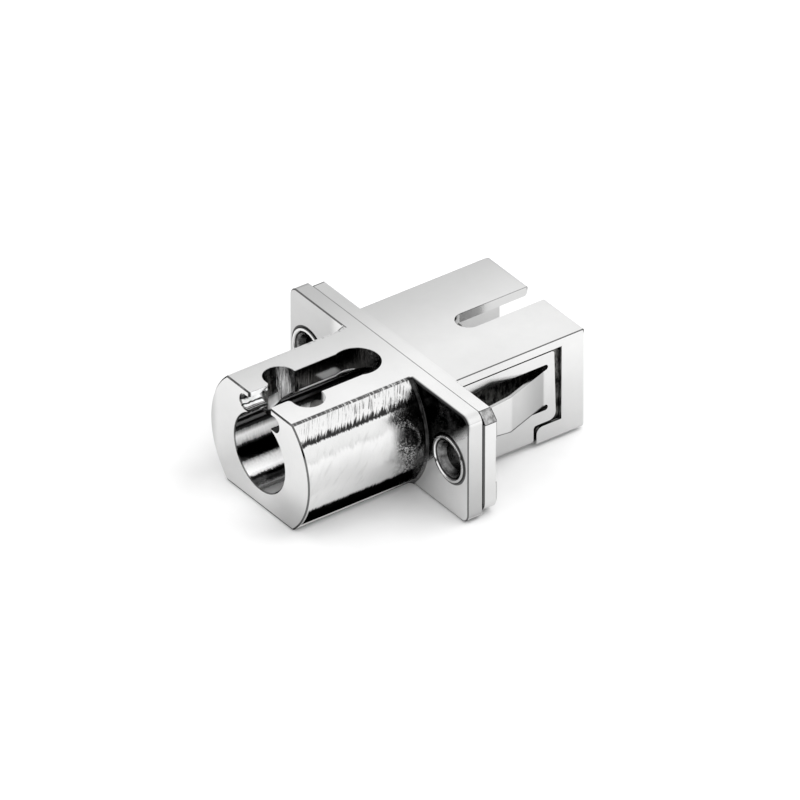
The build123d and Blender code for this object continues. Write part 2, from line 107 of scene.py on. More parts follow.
class Tree:
    """Adds, sets and links the nodes of one node tree. Its values are sockets or numbers."""

    def __init__(self, tree):
        self.tree = tree
        tree.nodes.clear()

    def fill(self, node, inputs):
        """Links or sets a node's inputs, given by name or by number."""
        for key, value in inputs.items():
            if isinstance(value, bpy.types.NodeSocket):
                self.tree.links.new(value, node.inputs[key])
            elif value is not None:
                node.inputs[key].default_value = value

    def add(self, kind, inputs=None, **settings):
        node = self.tree.nodes.new(kind)
        for name, value in settings.items():
            setattr(node, name, value)
        self.fill(node, inputs or {})
        return node

    def math(self, operation, a, b=0.0, clamp=False):
        node = self.add("ShaderNodeMath", {0: a, 1: b}, operation=operation, use_clamp=clamp)
        return node.outputs[0]

    def plus(self, *values):
        result = values[0]
        for value in values[1:]:
            result = self.math("ADD", result, value)
        return result

    def minus(self, a, b, clamp=False):
        return self.math("SUBTRACT", a, b, clamp)

    def times(self, *values):
        result = values[0]
        for value in values[1:]:
            result = self.math("MULTIPLY", result, value)
        return result

    def most(self, *values):
        result = values[0]
        for value in values[1:]:
            result = self.math("MAXIMUM", result, value)
        return result

    def inverse(self, value):
        """1 where the value is 0, 0 where it is 1."""
        return self.minus(1.0, value)

    def between(self, value, low, high):
        """low where the value is 0, high where it is 1."""
        return self.plus(self.times(value, high - low), low)

    def sway(self, noise, amount, middle=0.5):
        """A noise turned into a shift of up to about half the amount each way."""
        return self.times(self.minus(noise, middle), amount)

    def step(self, value, low, high):
        """0 below low, 1 above high, smooth between; falling where low is above high."""
        node = self.add(
            "ShaderNodeMapRange",
            {0: value, 1: low, 2: high, 3: 0.0, 4: 1.0},
            interpolation_type="SMOOTHSTEP",
        )
        return node.outputs[0]

    def edge(self, value, place, off, on):
        """0 where the value is past place + off, 1 where it is past place + on."""
        return self.step(value, place + off, place + on)

    def band(self, value, low, high, soft):
        """1 from low to high, with soft borders outside them."""
        return self.times(self.step(value, low - soft, low), self.step(value, high + soft, high))

    def vector(self, operation, a, b=None, scale=None):
        node = self.add("ShaderNodeVectorMath", {0: a, 1: b, "Scale": scale}, operation=operation)
        return node.outputs["Value" if operation in ("LENGTH", "DOT_PRODUCT") else 0]

    def stretch(self, vector, x, y, z):
        return self.vector("MULTIPLY", vector, (x, y, z))

    def join(self, x, y, z):
        return self.add("ShaderNodeCombineXYZ", {"X": x, "Y": y, "Z": z}).outputs[0]

    def split(self, vector):
        return self.add("ShaderNodeSeparateXYZ", {0: vector}).outputs[:3]

    def normal(self):
        return self.add("ShaderNodeNewGeometry").outputs["Normal"]

    def noise(self, vector, scale=1.0, detail=3.0, rough=0.5):
        inputs = {"Vector": vector, "Scale": scale, "Detail": detail, "Roughness": rough}
        return self.add("ShaderNodeTexNoise", inputs).outputs["Fac"]

    def ramp(self, value, stops):
        """A colour that runs through (place, tone) stops."""
        node = self.add("ShaderNodeValToRGB", {0: value})
        elements = node.color_ramp.elements
        while len(elements) < len(stops):
            elements.new(0.5)
        for element, (place, tone) in zip(elements, stops):
            element.position = place
            element.color = opaque(tone)
        return node.outputs[0]

    def mix(self, amount, a, b):
        """Colour a, and colour b where the amount is 1."""
        inputs = {0: amount, 6: opaque(a), 7: opaque(b)}
        return self.add("ShaderNodeMix", inputs, data_type="RGBA").outputs[2]

    def crevice(self, reach, open_at, shut_at):
        """1 in corners and gaps that are narrow against a reach in mm, 0 on open faces."""
        node = self.add("ShaderNodeAmbientOcclusion", {"Distance": reach * MM}, samples=12)
        return self.step(node.outputs["AO"], open_at, shut_at)

    def bump(self, height, strength, depth, normal=None):
        """A normal that follows the height over a depth in mm."""
        inputs = {"Strength": strength, "Distance": depth * MM, "Height": height, "Normal": normal}
        return self.add("ShaderNodeBump", inputs).outputs[0]


def material(name):
    """A new material, its node tree, its shader and the place on the object in mm."""
    made = bpy.data.materials.new(name)
    made.use_nodes = True
    tree = Tree(made.node_tree)
    shader = tree.add("ShaderNodeBsdfPrincipled")
    tree.add("ShaderNodeOutputMaterial", {"Surface": shader.outputs[0]})
    place = tree.add("ShaderNodeTexCoord").outputs["Object"]
    return made, tree, shader, tree.stretch(place, 1 / MM, 1 / MM, 1 / MM)


def lay_tones(t, shader, colour, *layers):
    """Lays (amount, tone) layers over a plate's colour and over what it reflects at a glance."""
    glance = 1.0
    for amount, tone in layers:
        colour = t.mix(amount, colour, tone)
        glance = t.mix(amount, glance, 0.06)
    t.fill(shader, {"Base Color": colour, "Specular Tint": glance})


def plate_tone(t, mm, low=0.70, high=0.75):
    """Slow, faint changes of tone over the bright plate, which is a little warm."""
    warm = 0.997
    slow = t.noise(mm, scale=0.16, detail=2.0, rough=0.5)
    fine = t.noise(mm, scale=1.4, detail=4.0, rough=0.6)
    both = t.plus(t.times(slow, 0.75), t.times(fine, 0.25))
    return t.ramp(both, ((0.35, (low, low, low * warm)), (0.65, (high, high, high * warm))))


def facing(t):
    """How far the surface looks up, and how far it looks along each axis, from 0 to 1."""
    parts = t.split(t.normal())
    return parts[Z], [t.math("ABSOLUTE", part) for part in parts]


def rounded(t, size):
    """The rounded and cut edges beside a face: they look partly along its axis."""
    return t.band(size, 0.36, 0.88, 0.12)


def from_rivet_rim(t, x, z):
    """Distance from the outer edge of the nearest rivet's rim, in mm, negative inside it."""
    from_axis = t.minus(t.math("ABSOLUTE", x), rivet_x)
    radius = t.math("SQRT", t.plus(t.times(from_axis, from_axis), t.times(z, z)))
    return t.minus(radius, rivet_rim_radius)


class FrontCasting:
    """Bright nickel plate of the front casting: its parts, its marks, and the reflections, highlights and
    shade painted into its colour.

    A mask is 1 inside its part, and its borders are offsets in mm from the casting's places.
    """

    def __init__(self):
        self.made, self.t, self.shader, self.mm = material("nickel_plate_front")
        self.x, self.y, self.z = self.t.split(self.mm)
        self.find_parts()
        self.make_noises()
        self.find_marks()
        colour = self.slot_tones(plate_tone(self.t, self.mm))
        lay_tones(
            self.t, self.shader, colour,
            *self.face_layers(),
            *self.barrel_layers(),
            *self.ear_layers(),
            *self.corner_layers(),
        )
        self.finish_surface()
        self.tilt_surface()

    def find_parts(self):
        """Masks of the barrel's round side, the bore, the slots' walls and the faces."""
        t, x, y, z = self.t, self.x, self.y, self.z
        self.radius = t.math("SQRT", t.plus(t.times(x, x), t.times(z, z)))
        self.side = t.times(
            t.edge(self.radius, barrel_radius, -0.18, -0.10),
            t.edge(y, flange_front_y, 0.01, -0.09),
            t.edge(y, barrel_front_y, 0.10, 0.16),
        )
        self.inside = t.times(
            t.edge(self.radius, barrel_radius, -0.3, -0.4),
            t.edge(y, barrel_front_y, 0.02, 0.06),
            t.edge(z, flat_z, -0.01, -0.05),
            t.edge(z, lower_flat_z, 0.05, 0.15),
        )
        self.bore = t.times(
            t.edge(self.radius, bore_radius, 0.15, 0.07),
            t.edge(z, bore_radius, -0.35, -0.65),
            self.inside,
        )
        self.slots = t.minus(self.inside, self.bore, clamp=True)
        self.channel = t.times(
            self.slots, t.edge(x, -neck_half_width, 0.15, 0.05), t.edge(y, cross_slot_front_y, 0.09, -0.11)
        )
        self.front_face = t.edge(y, barrel_front_y, 0.08, 0.02)
        self.upward, self.sizes = facing(t)

    def make_noises(self):
        """Grooves that run round the barrel, strokes, speckle, and the slots' rough walls."""
        t, mm = self.t, self.mm
        self.grain = t.noise(mm, scale=10.0, detail=4.0, rough=0.6)
        self.streaks = t.noise(t.stretch(mm, 0.7, 9.0, 0.7), detail=5.0, rough=0.65)
        self.waves = t.noise(t.stretch(mm, 0.35, 0.7, 0.35), detail=2.0, rough=0.5)
        self.speckle = t.noise(mm, scale=5.5, detail=6.0, rough=0.8)
        self.walls = t.noise(t.stretch(mm, 6.0, 6.0, 0.5), detail=3.0, rough=0.6)
        self.axial = t.noise(t.stretch(mm, 1.5, 0.02, 1.5), detail=2.0, rough=0.5)
        self.broad = t.noise(mm, scale=1.5, detail=3.0, rough=0.6)
        self.hairs = self.leaning_noise(0.6, 8.0, detail=4.0)
        self.leaning_streaks = self.leaning_noise(0.7, 1.8, detail=5.0)

    def leaning_noise(self, along, across, detail):
        """Strokes that run round the barrel and lean away from its front towards the top."""
        t = self.t
        leaned = t.minus(self.y, t.times(self.z, stroke_lean))
        place = t.join(t.times(self.x, along), t.times(leaned, across), t.times(self.z, along))
        return t.noise(place, detail=detail, rough=0.65)

    def find_marks(self):
        """Masks of the rumpled end of the barrel's side, with its painted dark reflection and shade, and
        of the painted shade on the right ear.
        """
        t, x, y, z = self.t, self.x, self.y, self.z
        self.near_flange = t.times(
            self.side, t.edge(t.plus(y, t.times(self.waves, 3.0)), flange_front_y, -1.99, -0.39)
        )
        self.root = t.times(
            self.side,
            t.edge(t.plus(y, t.times(self.waves, 1.2)), flange_front_y, -1.09, -0.29),
            t.edge(z, flat_z, -0.35, -0.95),
        )
        slope = t.plus(t.minus(z, t.minus(x, ear_shade_x)), t.sway(self.waves, 0.8))
        beside_barrel = t.edge(x, barrel_edge_x, -0.17, 0.03)
        self.ear_shade = t.times(
            t.step(slope, -0.9, 0.8),
            beside_barrel,
            t.edge(y, flange_front_y, 0.31, 0.03),
            t.edge(y, flange_front_y, -0.39, -0.29),
        )
        self.below_shade = t.times(
            t.step(slope, 0.1, -0.9),
            beside_barrel,
            t.band(y, flange_front_y - 0.19, flange_front_y + 0.06, 0.1),
            0.55,
        )

    def slot_tones(self, colour):
        """Painted shade, reflections and highlights inside the slots, the bore and the key channel, and
        which of them are matt.
        """
        t, x, y, z = self.t, self.x, self.y, self.z
        # painted shade and dark reflection on the slots' walls, greyer towards the cross slot
        dark_wall_shade = t.ramp(self.walls, ((0.40, 0.01), (0.55, 0.06), (0.75, 0.3)))
        grey_wall_shade = t.ramp(self.walls, ((0.3, 0.05), (0.5, 0.22), (0.75, 0.6)))
        cross = t.edge(y, cross_slot_rear_y, 1.63, 1.23)
        colour = t.mix(t.times(self.slots, 0.9), colour, t.mix(cross, dark_wall_shade, grey_wall_shade))

        # painted reflection stripes round the bore
        turns = t.math("DIVIDE", t.math("ARCTAN2", t.times(x, -1.0), z), 2 * math.pi)
        fray = t.sway(self.walls, 0.018)
        reflection_stripes = t.ramp(
            t.plus(t.math("FRACT", turns), fray, t.sway(self.axial, 0.03)), BORE_REFLECTION_STRIPES
        )
        colour = t.mix(self.bore, colour, reflection_stripes)

        # painted reflections across the key channel's left side, from its end to the neck
        channel_end_x = -channel_half_width - 0.05
        channel_reach = -neck_half_width + 0.05 - channel_end_x
        across = t.math("DIVIDE", t.plus(x, -channel_end_x), channel_reach)
        painted_glints = t.ramp(t.plus(across, t.sway(self.broad, 0.22)), CHANNEL_GLINT_STRIPES)
        colour = t.mix(self.channel, colour, painted_glints)

        # a dull grey highlight area and a bright strip along the bottom of the rear slot's left wall, both
        # painted light
        left_wall = t.times(self.slots, t.edge(x, -rear_slot_half_width, 0.2, 0.05))
        highlight_patch_sum = cross_slot_rear_y + highlight_patch_setback + highlight_patch_z
        highlight_patch = t.times(
            left_wall,
            t.band(t.plus(y, z), highlight_patch_sum - highlight_patch_lean, highlight_patch_sum + highlight_patch_lean, 0.5),
            t.band(z, highlight_patch_z - 0.2, highlight_patch_z + 0.2, 0.35),
        )
        colour = t.mix(highlight_patch, colour, 0.36)
        highlight_foot = t.times(
            left_wall, t.edge(z, slot_foot_z, 0.195, 0.125), t.edge(y, cross_slot_rear_y, 0.33, 0.53)
        )
        # painted highlights: the bright base of the cross slot's left end, and the light end of its right
        # end
        highlight_sill = t.times(
            self.slots,
            t.edge(x, -neck_half_width, 0.35, 0.05),
            t.edge(self.radius, bore_radius, 0.85, 0.35),
            t.band(y, cross_slot_y + 0.01, cross_slot_y + 0.61, 0.3),
            0.85,
        )
        highlight_crescent = t.times(
            self.slots,
            t.edge(x, rear_slot_half_width, 0.0, 0.4),
            t.band(y, cross_slot_y + 0.71, cross_slot_y + 1.91, 0.2),
            t.edge(z, flat_z, -1.05, -0.75),
            0.8,
        )
        bright_reflection_stripes = t.times(self.bore, t.step(reflection_stripes, 0.05, 0.35))
        bright_painted_glints = t.times(self.channel, t.step(painted_glints, 0.2, 0.6))
        self.matt = t.most(bright_reflection_stripes, highlight_foot, highlight_patch, highlight_sill, highlight_crescent, bright_painted_glints)
        return t.mix(t.most(highlight_foot, highlight_sill, highlight_crescent), colour, 0.95)

    def face_layers(self):
        """Painted shade: greyer stretches of the flat faces, each as an amount and a tone."""
        t, x, y, z = self.t, self.x, self.y, self.z
        top = t.times(t.step(self.upward, 0.8, 0.95), t.edge(z, flat_z, -0.10, -0.05))
        left = t.step(x, flange_end_x / 2, -flange_end_x)
        end_face = t.times(t.step(self.sizes[X], 0.9, 0.97), t.edge(x, flange_end_x, -0.3, -0.1))
        lower = t.step(z, flat_z - 0.45, lower_flat_z - 0.05)
        low_right = t.times(self.front_face, t.step(x, 0.0, 4.0), t.step(z, -0.5, -3.5))
        left_ear = t.times(t.edge(x, -barrel_radius, 1.1, 0.1), t.edge(y, flange_front_y, 0.21, 0.01))
        return (
            (t.times(top, left, 0.7), 0.32),
            (t.times(end_face, t.between(lower, 0.2, 0.6)), 0.3),
            (t.times(self.front_face, t.step(x, 5.0, -2.0), 0.08), 0.35),
            (t.times(low_right, 0.4), 0.35),
            (t.times(left_ear, 0.38), 0.3),
        )

    def barrel_layers(self):
        """The barrel's painted reflections and shade (a greyer middle, a dark right lip, dark reflection
        and shade by the flange, a dark underside and a ragged band) and grey leaning streaks.
        """
        t, x, y, z, side = self.t, self.x, self.y, self.z, self.side
        # a painted greyer reflection across the middle of the side, and grey leaning streaks
        middle = t.times(side, t.band(z, 0.3, 1.6, 1.3), 0.2)
        grey_streaks = t.times(
            side, t.step(self.leaning_streaks, 0.5, 0.7), t.step(z, 3.2, 2.4), t.step(z, -2.0, -1.0), 0.22
        )
        right_lip = t.times(
            self.slots, t.edge(x, neck_half_width, -0.15, 0.05), t.edge(y, cross_slot_front_y, 0.09, -0.11)
        )
        # the painted reflections and shade are fainter on the -X side; the side that
        # the photograph doesn't show is cleaner
        shown = t.step(x, -1.0, 1.0)
        seen = t.between(shown, 0.35, 1.0)
        fainter_far_side = t.inverse(t.times(t.step(x, 0.0, -2.0), 0.6))
        # painted dark reflection and shade by the flange: dark specks on the rumpled end and a dark root
        reflection_specks = t.times(
            self.near_flange, t.step(self.speckle, 0.44, 0.52), t.edge(z, flat_z, -0.55, -1.35), 0.95
        )
        shade_and_dark_reflection = t.times(fainter_far_side, t.most(reflection_specks, t.times(self.root, 0.75)))
        # painted dark reflection along the underside, with a ragged upper edge
        belt_reflection = t.times(
            side,
            t.edge(t.plus(z, t.sway(self.streaks, 0.7)), belt_reflection_top_z, 0.0, -0.3),
            t.edge(z, belt_reflection_bottom_z, 0.0, 0.08),
            t.edge(y, barrel_front_y, 0.16, 0.36),
            t.edge(y, flange_front_y, -0.49, -1.29),
        )
        # painted dark reflection: a ragged band high on the side, with fine dark strokes from it to the
        # flat's edge
        band = t.times(
            side,
            t.edge(t.plus(z, t.sway(self.streaks, 0.5)), reflected_band_low_z, 0.0, 0.12),
            t.edge(t.minus(z, t.sway(self.hairs, 1.7, middle=0.44)), reflected_band_high_z, 0.0, -0.2),
        )
        strokes = t.times(
            side,
            t.step(self.hairs, 0.50, 0.60),
            t.edge(z, reflected_band_high_z, -0.15, 0.55),
            t.step(self.broad, 0.38, 0.55),
            t.between(t.step(y, barrel_front_y + 0.96, flange_front_y - 2.09), 0.3, 0.95),
        )
        # a painted dark reflection line along the flat's edge
        rim_reflection_line = t.times(
            side, t.edge(z, flat_z, -0.11, -0.07), t.step(self.streaks, 0.35, 0.5), 0.9
        )
        band = t.most(t.times(t.most(band, strokes), seen), t.times(rim_reflection_line, shown))
        return (
            (middle, 0.3),
            (grey_streaks, 0.3),
            (t.times(right_lip, 0.95), 0.03),
            (shade_and_dark_reflection, 0.03),
            (t.times(belt_reflection, seen, 0.95), 0.02),
            (t.times(band, 0.98), 0.015),
        )

    def ear_layers(self):
        """The dark smoky reflection painted over the upper part of the right ear."""
        t = self.t
        clouds = t.noise(self.mm, scale=0.8, detail=3.0, rough=0.55)
        smoky_reflection = t.ramp(clouds, ((0.45, 0.01), (0.70, 0.07)))
        return ((t.times(self.ear_shade, 0.97), smoky_reflection),)

    def corner_layers(self):
        """Painted shade in corners, gaps and the seam, and fine painted dark lines along the casting's
        edges, with painted contact shadow round the rivets and at the bottom edge.
        """
        t, x, y, z = self.t, self.x, self.y, self.z
        tight_shade = t.crevice(reach=0.5, open_at=0.75, shut_at=0.3)
        deep_shade = t.times(
            t.crevice(reach=5.0, open_at=0.7, shut_at=0.2),
            t.between(self.inside, 0.1, 0.5),
            t.inverse(t.most(self.bore, self.matt)),
        )
        at_end = t.edge(x, flange_end_x, -0.25, -0.20)
        wide_seam = t.times(at_end, t.edge(y, parting_y, -0.17, -0.13))
        seam = t.times(t.most(t.edge(y, parting_y, -0.11, -0.07), wide_seam), t.inverse(self.inside))
        front_rim = t.times(
            t.band(y, barrel_front_y + 0.03, barrel_front_y + 0.11, 0.02),
            t.most(t.edge(self.radius, barrel_radius, -0.16, -0.13), t.edge(z, flat_z, -0.15, -0.12)),
        )
        # painted contact shadow along the front face's bottom edge
        lower_rim_shadow = t.times(t.edge(y, barrel_front_y, 0.04, 0.01), t.edge(z, lower_flat_z, 0.22, 0.18))
        edges = t.times(rounded(t, self.sizes[Y]), t.most(
            t.times(t.edge(y, flange_front_y, -0.09, -0.04), t.edge(y, flange_front_y, 0.31, 0.21)),
            t.edge(y, barrel_front_y, 0.16, 0.12),
        ))
        mouth = t.times(self.channel, t.edge(y, barrel_front_y, 0.26, 0.14))
        # painted contact shadow round the rivets' rims
        rivet_contact_shadow = t.times(
            t.step(from_rivet_rim(t, x, z), 0.19, 0.15), t.edge(y, flange_front_y, 0.31, 0.03)
        )
        lines = t.most(front_rim, lower_rim_shadow, edges, mouth, rivet_contact_shadow)
        return (
            (deep_shade, 0.10),
            (t.times(t.most(tight_shade, seam), 0.9), 0.02),
            (t.times(lines, 0.85), 0.03),
        )

    def finish_surface(self):
        """Gloss: dull where a painted bright tone has to stay bright, also under the dark underside
        reflection and below the ear's shade; rougher on the barrel's side.
        """
        t = self.t
        under_belt_reflection = t.times(self.side, t.edge(self.z, belt_reflection_bottom_z, 0.08, -0.04))
        matt = t.most(self.matt, under_belt_reflection, self.below_shade)
        rough = t.plus(
            t.between(self.grain, 0.07, 0.15),
            t.times(t.minus(self.side, self.bore), 0.05),
            t.times(matt, 0.5),
        )
        t.fill(self.shader, {"Metallic": t.inverse(matt), "Roughness": rough})

    def tilt_surface(self):
        """Tilts the barrel's surface round its axis, groove by groove, and roughens the slots."""
        t = self.t
        normal = t.normal()
        round_axis = t.vector("CROSS_PRODUCT", normal, (0.0, 1.0, 0.0))
        amount = t.between(self.near_flange, 0.26, 0.61)
        grooves = t.plus(t.times(t.minus(self.streaks, 0.5), amount), t.sway(self.waves, 0.12))
        rumpled = t.times(self.near_flange, t.inverse(self.root), t.edge(self.z, flat_z, -0.65, -1.25))
        tilt = t.plus(grooves, t.times(rumpled, t.minus(self.speckle, 0.5), 1.6))
        tilted = t.vector("ADD", normal, t.vector("SCALE", round_axis, scale=t.times(tilt, self.side)))
        tilted = t.vector("NORMALIZE", tilted)
        fine = t.bump(self.grain, strength=0.10, depth=0.01, normal=tilted)
        rough_walls = t.bump(t.times(self.walls, self.slots), strength=0.5, depth=0.1, normal=fine)
        t.fill(self.shader, {"Normal": rough_walls})


class RearCasting:
    """Bright nickel plate of the rear casting, with painted shade on the sunk floor where the clip covers
    it.
    """

    def __init__(self):
        self.made, self.t, self.shader, self.mm = material("nickel_plate_rear")
        self.x, self.y, self.z = self.t.split(self.mm)
        self.find_parts()
        lay_tones(
            self.t, self.shader, plate_tone(self.t, self.mm),
            *self.face_layers(),
            *self.keyway_layers(),
            *self.shade_and_mottle_layers(),
            *self.line_layers(),
        )
        self.finish_surface()

    def find_parts(self):
        """Masks of the sunk floor under the clip, the flange's cut top corners and the keyway."""
        t, y, z = self.t, self.y, self.z
        self.across = t.math("ABSOLUTE", self.x)
        self.upward, self.sizes = facing(t)
        self.behind_seat = t.edge(y, seat_y, 0.0, 0.1)
        self.ahead_of_seat = t.edge(y, seat_y, 0.1, 0.0)
        self.sunk = t.times(
            t.edge(self.across, shell_half_width, -0.15, -0.25),
            t.edge(self.across, port_half_width, 0.25, 0.35),
            self.behind_seat,
            t.edge(y, shell_rear_y, -0.67, -0.87),
            t.edge(z, shell_top_z, -0.65, -0.75),
            t.edge(z, -shell_top_z, 0.2, 0.3),
        )
        self.diagonal = t.minus(t.plus(self.across, z), flange_end_x + rear_flange_top_z)
        self.chamfer = t.times(
            t.edge(self.diagonal, -rear_flange_chamfer, -0.07, -0.03), self.ahead_of_seat
        )
        self.keyway = t.times(
            t.edge(self.across, keyway_half_width, 0.175, 0.075),
            t.edge(y, keyway_end_y, -0.17, -0.07),
            t.edge(z, port_top_z, -0.05, 0.0),
        )
        self.grain = t.noise(self.mm, scale=10.0, detail=4.0, rough=0.6)
        self.mottle = t.noise(t.stretch(self.mm, 2.0, 2.0, 1.0), scale=1.6, detail=5.0, rough=0.65)

    def face_layers(self):
        """Painted shade: the top is greyer towards the left, the sides towards the bottom, the port is dim
        and the recesses darker.
        """
        t, x, y, z, across = self.t, self.x, self.y, self.z, self.across
        top = t.times(t.step(self.upward, 0.8, 0.95), t.edge(z, shell_top_z, -0.3, -0.2))
        left = t.step(x, 4.0, -9.0)
        on_shell = t.step(across, flange_end_x - 2.9, flange_end_x - 3.9)
        lower = t.times(t.step(z, 3.5, -4.5), t.between(on_shell, 0.12, 0.28))
        side_face = t.times(t.step(self.sizes[X], 0.9, 0.97), t.plus(lower, 0.04))
        port = t.times(
            t.edge(across, port_half_width, 0.10, 0.03),
            t.edge(z, port_top_z, -0.03, -0.07),
            t.edge(y, seat_y, 1.0, 1.2),
        )
        deep_shade = t.crevice(reach=4.0, open_at=0.6, shut_at=0.1)
        return (
            (t.times(top, left, 0.55), 0.32),
            (t.times(top, self.behind_seat, 0.12), 0.4),
            (side_face, 0.35),
            (t.times(port, 0.35), 0.3),
            (t.times(deep_shade, 0.25), 0.2),
        )

    def keyway_layers(self):
        """Painted shade on the keyway: grey walls, darker towards the closed end, with a fine dark line at
        their top.
        """
        t = self.t
        key_depth = t.edge(self.y, keyway_end_y, 4.73, 0.13)
        walls = t.times(self.keyway, t.step(self.upward, 0.6, 0.4), t.between(key_depth, 0.3, 0.7))
        line = t.times(
            self.keyway, t.step(self.upward, 0.95, 0.85), t.edge(self.z, shell_top_z, -0.08, -0.05)
        )
        return (
            (walls, 0.3),
            (t.times(line, 0.7), 0.08),
        )

    def shade_and_mottle_layers(self):
        """Painted black shade on the floor under the clip, and a grey mottle on the cut corners."""
        t = self.t
        sunk_floor_shade = t.ramp(self.mottle, ((0.4, 0.012), (0.7, (0.22, 0.22, 0.21))))
        grey_mottle = t.ramp(self.mottle, ((0.40, 0.10), (0.60, 0.45)))
        return (
            (self.sunk, sunk_floor_shade),
            (t.times(self.chamfer, 0.8), grey_mottle),
        )

    def line_layers(self):
        """Painted shade in corners and the seam, and fine painted dark lines along the flange's and
        shell's edges.
        """
        t, y, z = self.t, self.y, self.z
        tight_shade = t.crevice(reach=0.5, open_at=0.75, shut_at=0.3)
        at_end = t.edge(self.across, flange_end_x, -0.3, -0.25)
        wide_seam = t.times(at_end, t.edge(y, parting_y, 0.16, 0.12))
        seam = t.most(t.edge(y, parting_y, 0.14, 0.11), wide_seam)
        flange_edges = t.times(
            rounded(t, self.sizes[Y]), t.band(y, seat_y - 0.2, seat_y + 0.05, 0.02)
        )
        shell_edges = t.times(
            rounded(t, self.sizes[X]), t.edge(z, shell_top_z, -0.4, -0.3), self.behind_seat
        )
        cut_start = -rear_flange_chamfer
        cut_lines = t.most(
            t.times(t.band(self.diagonal, cut_start - 0.10, cut_start - 0.04, 0.02), self.ahead_of_seat),
            t.times(self.chamfer, t.edge(y, seat_y, -0.16, -0.12)),
        )
        return (
            (t.times(t.most(tight_shade, seam), 0.9), 0.02),
            (t.times(t.most(cut_lines, flange_edges, shell_edges), 0.85), 0.04),
        )

    def finish_surface(self):
        """Gloss and relief, rougher on the sunk floor and the cut corners."""
        t = self.t
        mottled = t.most(self.sunk, self.chamfer)
        fine = t.bump(self.grain, strength=0.10, depth=0.01)
        t.fill(self.shader, {
            "Metallic": 1.0,
            "Roughness": t.plus(t.between(self.grain, 0.08, 0.16), t.times(mottled, 0.3)),
            "Normal": t.bump(t.times(self.mottle, mottled), strength=0.6, depth=0.15, normal=fine),
        })


def sprung_steel():
    """Polished spring sheet, with painted shade: the tang greyer towards its root, a dark line along its
    lower edge, the sheet greyer towards the bottom, and darker corners.
    """
    made, t, shader, mm = material("polished_spring_sheet")
    x, y, z = t.split(mm)
    across = t.math("ABSOLUTE", x)
    lines = t.noise(t.stretch(mm, 1.0, 0.6, 14.0), detail=3.0, rough=0.6)
    tight_shade = t.crevice(reach=0.4, open_at=0.7, shut_at=0.3)
    tang = t.times(t.edge(across, shell_half_width, 0.02, 0.10), t.edge(y, tang_root_y, 0.0, -0.4))
    towards_root = t.times(t.step(y, tang_bend_y + 0.6, tang_root_y - 0.2), 0.6)
    past_bend = t.times(t.edge(y, tang_bend_y, 0.0, 0.3), 0.4)
    tip_taper = t.times(t.step(y, tang_bend_y, tang_bend_y - 2.1), 0.2)
    lower_edge = t.plus(tip_taper, tang_bottom_z + 0.09)
    lower = t.step(z, 3.5, -4.5)
    t.fill(shader, {
        "Metallic": 1.0,
        "Roughness": t.between(lines, 0.08, 0.20),
        "Normal": t.bump(lines, strength=0.08, depth=0.01),
    })
    lay_tones(
        t, shader, plate_tone(t, mm, low=0.70, high=0.76),
        (t.times(tang, t.plus(towards_root, past_bend), 0.6), 0.3),
        (t.between(lower, 0.10, 0.40), 0.35),
        (t.times(tang, t.step(t.minus(z, lower_edge), 0.03, 0.0), 0.8), 0.05),
        (t.times(tight_shade, 0.8), 0.02),
    )
    return made


def plated_rivet():
    """Bright rolled rim with painted dark outlines, and painted shade in the bowl and the hole."""
    made, t, shader, mm = material("rivet_plate")
    x, y, z = t.split(mm)
    wear = t.noise(mm, scale=3.0, detail=4.0, rough=0.6)
    from_rim = from_rivet_rim(t, x, z)
    bowl = t.step(from_rim, -0.31, -0.39)
    shade_and_dark_reflection = t.ramp(
        t.plus(t.times(wear, 0.5), t.plus(t.times(from_rim, 0.25), 0.51)),
        ((0.40, 0.03), (0.58, 0.09), (0.75, 0.28)),
    )
    outline = t.most(t.band(from_rim, -0.45, -0.35, 0.03), t.step(from_rim, -0.09, -0.05))
    lay_tones(t, shader, plate_tone(t, mm), (t.times(bowl, 0.95), shade_and_dark_reflection), (t.times(outline, 0.9), 0.02))
    t.fill(shader, {
        "Metallic": 1.0,
        "Roughness": t.plus(t.times(wear, 0.15), t.between(bowl, 0.06, 0.21)),
        "Normal": t.bump(wear, strength=0.3, depth=0.05),
    })
    return made


def plain_finish(name, tones, tone_scale, relief_scales, relief_noise, metallic, gloss, relief):
    """Two tones that mix slowly, under a fine relief with its own noise, strength and depth.

    gloss gives the roughness in the relief's hollows and on its ridges.
    """
    made, t, shader, mm = material(name)
    low, high = tones
    height = t.noise(t.stretch(mm, *relief_scales), **relief_noise)
    t.fill(shader, {
        "Base Color": t.ramp(t.noise(mm, scale=tone_scale), ((0.3, low), (0.7, high))),
        "Metallic": metallic,
        "Roughness": t.between(height, *gloss),
        "Normal": t.bump(height, **relief),
    })
    return made


def turned_holder():
    return plain_finish(
        "turned_plate",
        tones=((0.16, 0.16, 0.155), (0.32, 0.31, 0.3)),
        tone_scale=1.2,
        relief_scales=(0.4, 12.0, 0.4),
        relief_noise={"detail": 2.0, "rough": 0.6},
        metallic=1.0,
        gloss=(0.15, 0.30),
        relief={"strength": 0.3, "depth": 0.02},
    )


def moulded_insert():
    return plain_finish(
        "moulded_insert",
        tones=((0.56, 0.56, 0.54), (0.62, 0.62, 0.6)),
        tone_scale=0.8,
        relief_scales=(12.0, 12.0, 12.0),
        relief_noise={"detail": 3.0, "rough": 0.6},
        metallic=0.0,
        gloss=(0.4, 0.6),
        relief={"strength": 0.3, "depth": 0.02},
    )


